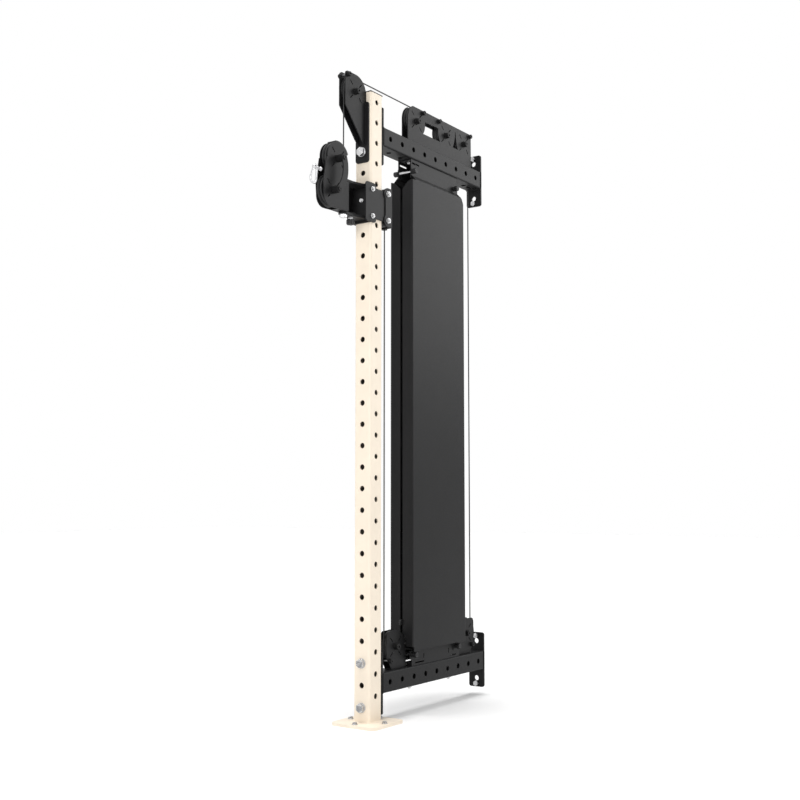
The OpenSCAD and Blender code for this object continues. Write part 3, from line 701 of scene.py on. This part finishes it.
def shank(a, b, radius, mat):
    """Plain round bar from a to b with small chamfers"""
    a, b = Vector(a), Vector(b)
    d = b - a
    way = max(AIM_DIRECTION, key=lambda k: AIM_DIRECTION[k].dot(d))
    n, e = d.length, 3e-4
    profile = [(0, 0), (radius - e, 0), (radius, e), (radius, n - e), (radius - e, n), (0, n)]
    return lathe("shank", profile, tuple(a), way, steps=32, mat=mat)


def along(at, way, d):
    """The point moved the distance d along way"""
    return tuple(Vector(at) + AIM_DIRECTION[way] * d)


def fastener(at, way, mat, washer_size, flats, height, thread=None, face=None):
    """Washer and hexagon stacked along way from the face at the point, and the thread end of a nut"""
    outer, thick = washer_size
    parts = [washer(at, way, flats * 0.3, outer, thick, mat)]
    parts.append(hex_prism("hexagon", flats, height, along(at, way, thick), way, mat, face=face))
    if thread:
        radius, out = thread
        parts.append(thread_end(along(at, way, thick + height - 1e-4), way, radius, out, face or mat))
    return parts


class COLUMN_OT_frame_bolts(bpy.types.Operator):
    """Makes the large hexagon bolts, nuts and washers"""

    bl_idname = "column.frame_bolts"
    bl_label = "Frame Bolts"

    def execute(self, context):
        mats = palette()
        mat, face = mats["bolt steel"], mats["bolt face"]
        s = context.scene.column_sizes
        ring, head, nut, thread, shaft = (s.washer_radius, 0.003), 0.0125, 0.016, (0.010, 0.005), 0.0098
        inside = END_PLATE - 0.001
        parts = []
        # the lower bolts' end faces are in the darker zinc as painted shade, while the top bolt's face stays
        # bright zinc
        for z, front, shade in ((0.0635, -POST_HALF, face), (0.2235, -POST_HALF, face),
                                (2.1435, -END_PLATE, mats["zinc"])):
            parts += fastener((0, front, z), "-Y", mat, ring, s.bolt_flats, head, face=shade)
            parts += fastener((0, END_PLATE, z), "Y", mat, ring, s.bolt_flats, nut, thread)
            parts.append(shank((0, front + 0.001, z), (0, inside, z), shaft, mat))
        parts += fastener((0, END_PLATE, 2.3035), "Y", mat, ring, s.bolt_flats, head, face=face)
        parts.append(shank((0, -END_PLATE, 2.3035), (0, inside, 2.3035), shaft, mat))
        for z in CROSSMEMBERS:
            for d in (-0.1, 0.1):
                parts += fastener((0, WALL_PLATE, z + d), "-Y", mat, (0.0094, 0.0025), 0.019, 0.008)
        o = join(parts, "hexagon_bolts")
        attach(o, "frame")
        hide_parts("frame_bolts")
        return {"FINISHED"}


class COLUMN_OT_trolley_bolts(bpy.types.Operator):
    """Makes the trolley's small bolts, roller axles and pivot bolt"""

    bl_idname = "column.trolley_bolts"
    bl_label = "Trolley Bolts"

    def execute(self, context):
        mats = palette()
        # the end faces and thread ends of the trolley bolts are in the darker zinc: painted shade
        mat, face = mats["zinc"], mats["bolt face"]
        parts = []
        for z in ROLLER_HEIGHTS:
            for way, d in (("X", 1), ("-X", -1)):
                parts += fastener((0.0445 * d, -0.036, z), way, mat, (0.0095, 0.0015), 0.015, 0.0052,
                                  (0.004, 0.0018), face)
                parts += fastener((0.0485 * d, ROLLER_Y, z), way, mat, (0.011, 0.0015), 0.019, 0.0057,
                                  (0.006, 0.0017), face)
                parts.append(shank((0.0385 * d, ROLLER_Y, z), (0.0485 * d, ROLLER_Y, z), 0.009, mat))
            parts.append(shank((-0.048, ROLLER_Y, z), (0.048, ROLLER_Y, z), 0.006, mat))
        parts.append(washer((0, -0.0385, 1.955), "-Y", 0.004, 0.0094, 0.008, mats["dark steel"]))
        parts += fastener((0, -0.0465, 1.955), "-Y", mat, (0.0078, 0.001), 0.0125, 0.005)
        ring, flats, height = (0.0135, 0.0015), 0.024, 0.01
        parts += fastener((0, PIVOT_Y, 2.0095), "Z", mat, ring, flats, height)
        parts += fastener((0, PIVOT_Y, 1.8775), "-Z", mat, ring, flats, height, (0.008, 0.0018))
        parts.append(shank((0, PIVOT_Y, 1.878), (0, PIVOT_Y, 2.009), 0.0079, mat))
        o = join(parts, "trolley_fasteners")
        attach(o, "trolley")
        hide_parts("trolley_bolts")
        return {"FINISHED"}


def lobed_knob(name, radius, depth, lobes, height, at, way, mat):
    """Hand knob: turned with rounded ends and a dished face, then waisted between its lobes"""
    f = radius * 0.18
    turns = [math.radians(18 * i) for i in range(6)]
    low = [(radius - f + f * math.sin(a), f - f * math.cos(a)) for a in turns]
    top = [(r, height - z) for r, z in reversed(low)]
    dish = [(radius * r, height - radius * z)
            for r, z in ((0.60, 0), (0.55, 0.07), (0.34, 0.07), (0.29, 0.02), (0, 0.02))]
    o = lathe(name, [(0, 0)] + low + top + dish, (0, 0, 0), "Z", steps=lobes * 14, mat=mat)
    for v in o.data.vertices:
        rho, a = math.hypot(v.co.x, v.co.y), math.atan2(v.co.y, v.co.x)
        part = max(0.0, min(1.0, (rho / radius - 0.62) / 0.38))
        new = rho - part * depth * (0.5 - 0.5 * math.cos(lobes * a)) ** 1.4
        v.co.x, v.co.y = new * math.cos(a), new * math.sin(a)
    o.rotation_euler = AIM[way]
    o.location = at
    settle(o)
    smooth(o, 35)
    return o


class COLUMN_OT_knobs(bpy.types.Operator):
    """Makes the hand knobs of the stack ties, the index plunger and the lock plunger"""

    bl_idname = "column.knobs"
    bl_label = "Knobs"

    def execute(self, context):
        mats = palette()
        plastic, zinc, dark = mats["dark plastic"], mats["zinc"], mats["dark steel"]
        ties = [(y, z) for y in TIE_ROWS for z in TIE_HEIGHTS]
        parts = []
        for y, z in ties:
            for way, d in (("X", 1), ("-X", -1)):
                parts.append(lobed_knob("knob", 0.011, 0.0022, 7, 0.0165, (0.0373 * d, y, z), way, plastic))
                parts.append(washer((0.0336 * d, y, z), way, 0.0063, 0.0098, 0.0036, plastic))
        o = join(parts, "tie_hand_knobs")
        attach(o, "frame")
        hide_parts("tie_knobs")
        # the lower tie bars are in dark steel: painted shade on zinc
        rods = [shank((-0.046, y, z), (0.046, y, z), 0.006, zinc if z > 1 else dark) for y, z in ties]
        o = join(rods, "tie_bars")
        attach(o, "frame")
        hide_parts("tie_rods")
        radius = context.scene.column_sizes.knob_radius
        grip = lobed_knob("grip", radius, 0.0042, 6, 0.018, (0, -0.114, 1.866), "-Z", plastic)
        pin = shank((0, -0.114, 1.860), (0, -0.114, 1.8852), 0.003, zinc)
        o = join([grip, pin], "index_plunger")
        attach(o, "index_pin")
        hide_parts("index_pin")
        rings = [(0, 0), (0.0095, 0), (0.0105, 0.002), (0.0105, 0.005), (0.0140, 0.0075), (0.0150, 0.0095)]
        for i in range(4):
            z = 0.0105 + i * 0.0025
            rings += [(0.0150, z), (0.0144, z + 0.0007), (0.0144, z + 0.0014), (0.0150, z + 0.0021)]
        rings += [(0.0150, 0.0215), (0.0138, 0.0235), (0.0095, 0.024), (0.0085, 0.0232), (0, 0.0232)]
        grip = lathe("grip", rings, (-0.072, 0, TROLLEY), "-X", mat=plastic)
        pin = lathe("pin", [(0, 0), (0.0075, 0), (0.0095, 0.0022), (0.0095, 0.0338), (0, 0.0338)],
                    (-0.0382, 0, TROLLEY), "-X", mat=zinc)
        o = join([grip, pin], "lock_plunger")
        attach(o, "lock_pin")
        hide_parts("lock_pin")
        return {"FINISHED"}


class COLUMN_OT_axles(bpy.types.Operator):
    """Makes the pulley axles and the cable retainers with their socket heads"""

    bl_idname = "column.axles"
    bl_label = "Axles"

    def head(self, flange, radius, length, flats, mat):
        """Cap head on +X that starts at X = 0, with a rounded end and a hexagon socket"""
        f = radius * 0.2
        round_end = [(radius - f + f * math.cos(a), length - f + f * math.sin(a))
                     for a in (math.radians(15 * i) for i in range(7))]
        profile = [(0, 0), (radius, 0)]
        if flange:
            e, thick = 4e-4, 0.0025
            profile = [(0, 0), (flange - e, 0), (flange, e), (flange, thick - e), (flange - e, thick),
                       (radius, thick)]
        o = lathe("head", profile + round_end + [(0, length)], (0, 0, 0), "X", steps=40, mat=mat)
        corner = flats / 2 / math.cos(math.pi / 6)
        bpy.ops.mesh.primitive_cylinder_add(vertices=6, radius=corner, depth=0.008,
                                            location=(length, 0, 0), rotation=(0, math.pi / 2, 0))
        key = bpy.context.object
        modifier(o, "BOOLEAN", operation="DIFFERENCE", solver="EXACT", object=key)
        bpy.data.objects.remove(key)
        return o

    def placed(self, head, x, y, z, left=False):
        """Copy of a head with its own mesh, turned round where it is on the left"""
        o = head.copy()
        o.data = head.data.copy()
        bpy.context.scene.collection.objects.link(o)
        o.location = (x, y, z)
        o.rotation_euler = (0, 0, math.pi if left else 0)
        return settle(o)

    def execute(self, context):
        mats = palette()
        oxide, steel, bright = mats["oxide"], mats["steel"], mats["zinc"]
        big = self.head(0.0135, 0.012, 0.0165, 0.008, oxide)
        small = self.head(0, 0.009, 0.012, 0.006, oxide)
        face, shaft, bush = 0.0155, 0.006, 0.009
        parts = []
        for y, z in (FRONT, REAR_1, REAR_2, REAR_3, LOW_FRONT, LOW_REAR):
            parts.append(shank((-0.017, y, z), (0.017, y, z), shaft, steel))
            for way, d in (("-X", -1), ("X", 1)):
                parts.append(self.placed(big, face * d, y, z, d < 0))
                parts.append(washer((0.004 * d, y, z), way, shaft, bush, 0.0075, steel))
        o = join(parts, "pulley_axle_pins")
        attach(o, "frame")
        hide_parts("pulley_axles")
        parts = []
        for y, z in KEEPERS:
            parts.append(shank((-0.016, y, z), (0.016, y, z), 0.0035, steel))
            parts += [self.placed(small, face * d, y, z, d < 0) for d in (-1, 1)]
        o = join(parts, "cable_retainer_pins")
        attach(o, "frame")
        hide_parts("cable_retainers")
        out = abs(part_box("head_plates")[0][0])
        ring = [(0.006, -0.004), (0.0112, -0.004), (0.0112, -0.003), (0.0085, -0.003), (0.0085, 0.003),
                (0.0112, 0.003), (0.0112, 0.004), (0.006, 0.004), (0.006, -0.004)]
        parts = []
        for y, z in (HEAD_TOP, HEAD_LOW):
            parts.append(shank((-out - 0.001, y, z), (0.030, y, z), shaft, steel))
            parts.append(self.placed(big, -out, y, z, True))
            parts.append(lathe("ring", ring, (0, y, z), "X", mat=bright))
            for way, d in (("-X", -1), ("X", 1)):
                parts.append(washer((0.004 * d, y, z), way, shaft, bush, out - 0.004 - 0.004, steel))
        o = join(parts, "head_axle_pins")
        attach(o, "head")
        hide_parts("head_axles")
        bpy.data.objects.remove(big)
        bpy.data.objects.remove(small)
        return {"FINISHED"}


class COLUMN_OT_selector(bpy.types.Operator):
    """Makes the selector pin with its slim grip"""

    bl_idname = "column.selector"
    bl_label = "Selector Pin"

    def execute(self, context):
        mats = palette()
        low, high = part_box("selector_pin")
        z = (low[2] + high[2]) / 2
        pin = lathe("pin", [(0, 0), (0.0016, 0), (0.0040, 0.006), (0.0040, 0.200), (0, 0.200)],
                    (0, high[1], z), "-Y", steps=32, mat=mats["chrome"])
        nothing_selected()
        bpy.ops.mesh.primitive_cube_add(size=1, location=(0, low[1] + 0.019, z))
        grip = context.object
        grip.scale = (0.009, 0.038, 0.022)
        settle(grip, mats["nylon"])
        bpy.ops.object.mode_set(mode="EDIT")
        bm = bmesh.from_edit_mesh(grip.data)
        for e in bm.edges:
            e.select = abs(e.verts[0].co.x - e.verts[1].co.x) > 0.005
        bmesh.update_edit_mesh(grip.data)
        bpy.ops.mesh.bevel(offset=0.0109, segments=8)
        bpy.ops.object.mode_set(mode="OBJECT")
        modifier(grip, "BEVEL", width=0.0012, segments=3, limit_method="ANGLE")
        smooth(grip, 35)
        o = join([pin, grip], "selector_pin_grip")
        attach(o, "selector_pin")
        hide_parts("selector_pin")
        return {"FINISHED"}


class COLUMN_OT_floor_anchors(bpy.types.Operator):
    """Makes the four anchor bolts in the foot plate's holes"""

    bl_idname = "column.floor_anchors"
    bl_label = "Floor Anchors"

    def execute(self, context):
        mats = palette()
        mat, out = mats["bolt face"], 0.078
        parts = []
        for x, y in ((out, 0), (0, out), (-out, 0), (0, -out)):
            parts += fastener((x, y, 0.0101), "Z", mat, (0.0112, 0.0012), 0.0150, 0.0072, face=mat)
            parts.append(shank((x, y, 0.0003), (x, y, 0.0103), 0.006, mats["dark steel"]))
        o = join(parts, "floor_anchor_bolts")
        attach(o, "frame")
        return {"FINISHED"}


class COLUMN_OT_block_bolts(bpy.types.Operator):
    """Makes the cap screws of the pulley blocks and the bolts of the stack brackets"""

    bl_idname = "column.block_bolts"
    bl_label = "Block Bolts"

    def execute(self, context):
        mats = palette()
        dark, zinc = mats["oxide"], mats["bolt steel"]
        parts = []
        cap = [(0, 0), (0.0088, 0), (0.009, 0.0002), (0.009, 0.0062), (0.0084, 0.007), (0.0044, 0.007),
               (0.004, 0.0066), (0.004, 0.003), (0, 0.0022)]
        shaft, flats = 0.006, 0.019
        for y, z in ((0.29125, 2.265), (0.61125, 2.265), (0.21125, 0.185), (0.61125, 0.185)):
            parts.append(lathe("cap", cap, (0, y, z), "Z", mat=dark))
            parts.append(shank((0, y, z - 0.022), (0, y, z + 0.001), shaft, dark))
        for y in STACK_BOLTS:
            parts.append(shank((0, y, 0.091), (0, y, 0.1915), shaft, zinc))
            parts.append(hex_prism("nut", flats, 0.008, (0, y, 0.185), "Z", dark))
            parts.append(hex_prism("nut", flats, 0.010, (0, y, 0.106), "-Z", zinc))
            parts.append(shank((0, y, 2.174), (0, y, 2.200), shaft, zinc))
            parts.append(hex_prism("head", flats, 0.008, (0, y, 2.182), "-Z", zinc))
        o = join(parts, "block_fasteners")
        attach(o, "frame")
        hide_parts("block_bolts")
        return {"FINISHED"}


class COLUMN_OT_upright_cap(bpy.types.Operator):
    """Makes the moulded cap on the upright"""

    bl_idname = "column.upright_cap"
    bl_label = "Upright Cap"

    def execute(self, context):
        nothing_selected()
        bpy.ops.mesh.primitive_cube_add(size=1, location=(0, 0, 2.3805))
        o = context.object
        o.scale = (0.0745, 0.0745, 0.005)
        bpy.ops.object.transform_apply(location=False, rotation=False, scale=True)
        bpy.ops.object.mode_set(mode="EDIT")
        bm = bmesh.from_edit_mesh(o.data)
        for e in bm.edges:
            e.select = abs(e.verts[0].co.z - e.verts[1].co.z) > 1e-4
        bmesh.update_edit_mesh(o.data)
        bpy.ops.mesh.bevel(offset=0.009, segments=8)
        self.select_top(o, 0.9)
        bpy.ops.mesh.bevel(offset=0.0018, segments=3)
        self.select_top(o, 0.99)
        bpy.ops.mesh.inset(thickness=0.010, depth=0)
        bpy.ops.mesh.inset(thickness=0.002, depth=-0.0012)
        bpy.ops.object.mode_set(mode="OBJECT")
        o.name = "post_cap"
        settle(o, palette()["dark plastic"])
        smooth(o, 30)
        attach(o, "frame")
        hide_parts("upright_cap")
        return {"FINISHED"}

    def select_top(self, o, least):
        """Selects the faces that look up"""
        bm = bmesh.from_edit_mesh(o.data)
        for f in bm.faces:
            f.select = f.normal.z > least
        bm.select_flush_mode()
        bmesh.update_edit_mesh(o.data)


class COLUMN_OT_welds(bpy.types.Operator):
    """Lays the weld beads round the foot and the end plates"""

    bl_idname = "column.welds"
    bl_label = "Welds"

    def execute(self, context):
        mats = palette()
        out = POST_HALF + 0.0001
        foot = self.bead("foot_weld", [(x, y, 0.010) for x, y in self.outline(out, 0.009)], mats["ivory"])
        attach(foot, "frame")
        parts = []
        for z in CROSSMEMBERS:
            for y in (END_PLATE, WALL_PLATE):
                ring = [(x, y, z + up) for x, up in self.outline(out, 0.006)]
                parts.append(self.bead("bead", ring, mats["black"]))
        o = join(parts, "beam_welds")
        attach(o, "frame")
        return {"FINISHED"}

    def outline(self, half, r):
        """Points round a square with rounded corners"""
        pts = []
        for cx, cy, start in ((1, 1, 0), (-1, 1, 90), (-1, -1, 180), (1, -1, 270)):
            for i in range(9):
                a = math.radians(start + 90 * i / 8)
                pts.append((cx * (half - r) + r * math.cos(a), cy * (half - r) + r * math.sin(a)))
        return pts

    def bead(self, name, ring, mat):
        """Closed bead along the ring, with the ripples of the weld"""
        step, ripple, height = 0.0012, 2600, 0.0003
        n = len(ring)
        dense = []
        for i in range(n):
            a, b = Vector(ring[i]), Vector(ring[(i + 1) % n])
            k = max(1, int((b - a).length / step))
            dense += [tuple(a.lerp(b, j / k)) for j in range(k)]
        radius = bpy.context.scene.column_sizes.weld_radius
        o = tube(name, dense, radius, mat, cyclic=True, resolution=2)
        c = sum((Vector(p) for p in ring), Vector()) / n
        for v in o.data.vertices:
            t = math.sin(v.co.x * ripple) * math.sin(v.co.y * ripple) * math.cos(v.co.z * ripple)
            v.co += (v.co - c).normalized() * t * height
        return o


def upgrade():
    """Calls every operator in turn"""
    column = bpy.ops.column
    for op in (column.stage, column.finishes, column.cables, column.frame_bolts, column.trolley_bolts,
               column.knobs, column.axles, column.selector, column.floor_anchors, column.block_bolts,
               column.upright_cap, column.welds):
        if op() != {"FINISHED"}:
            raise RuntimeError("a step didn't finish")


class COLUMN_PT_panel(bpy.types.Panel):
    """Lists the steps and the values"""

    bl_idname = "COLUMN_PT_panel"
    bl_label = "Pulley Column"
    bl_space_type = "VIEW_3D"
    bl_region_type = "UI"
    bl_category = "Pulley Column"

    def draw(self, context):
        for group in (context.scene.column_sizes, context.scene.column_colours):
            for key in group.__annotations__:
                self.layout.prop(group, key)
        for cls in CLASSES:
            if issubclass(cls, bpy.types.Operator):
                self.layout.operator(cls.bl_idname)


CLASSES = (ColumnSizes, ColumnColours, COLUMN_OT_stage, COLUMN_OT_finishes, COLUMN_OT_cables,
           COLUMN_OT_frame_bolts, COLUMN_OT_trolley_bolts, COLUMN_OT_knobs, COLUMN_OT_axles,
           COLUMN_OT_selector, COLUMN_OT_floor_anchors, COLUMN_OT_block_bolts, COLUMN_OT_upright_cap,
           COLUMN_OT_welds, COLUMN_PT_panel)


def register():
    for cls in CLASSES:
        bpy.utils.register_class(cls)
    bpy.types.Scene.column_sizes = bpy.props.PointerProperty(type=ColumnSizes)
    bpy.types.Scene.column_colours = bpy.props.PointerProperty(type=ColumnColours)


def unregister():
    del bpy.types.Scene.column_sizes
    del bpy.types.Scene.column_colours
    for cls in reversed(CLASSES):
        bpy.utils.unregister_class(cls)


def main():
    register()
    upgrade()


if __name__ == "__main__":
    main()
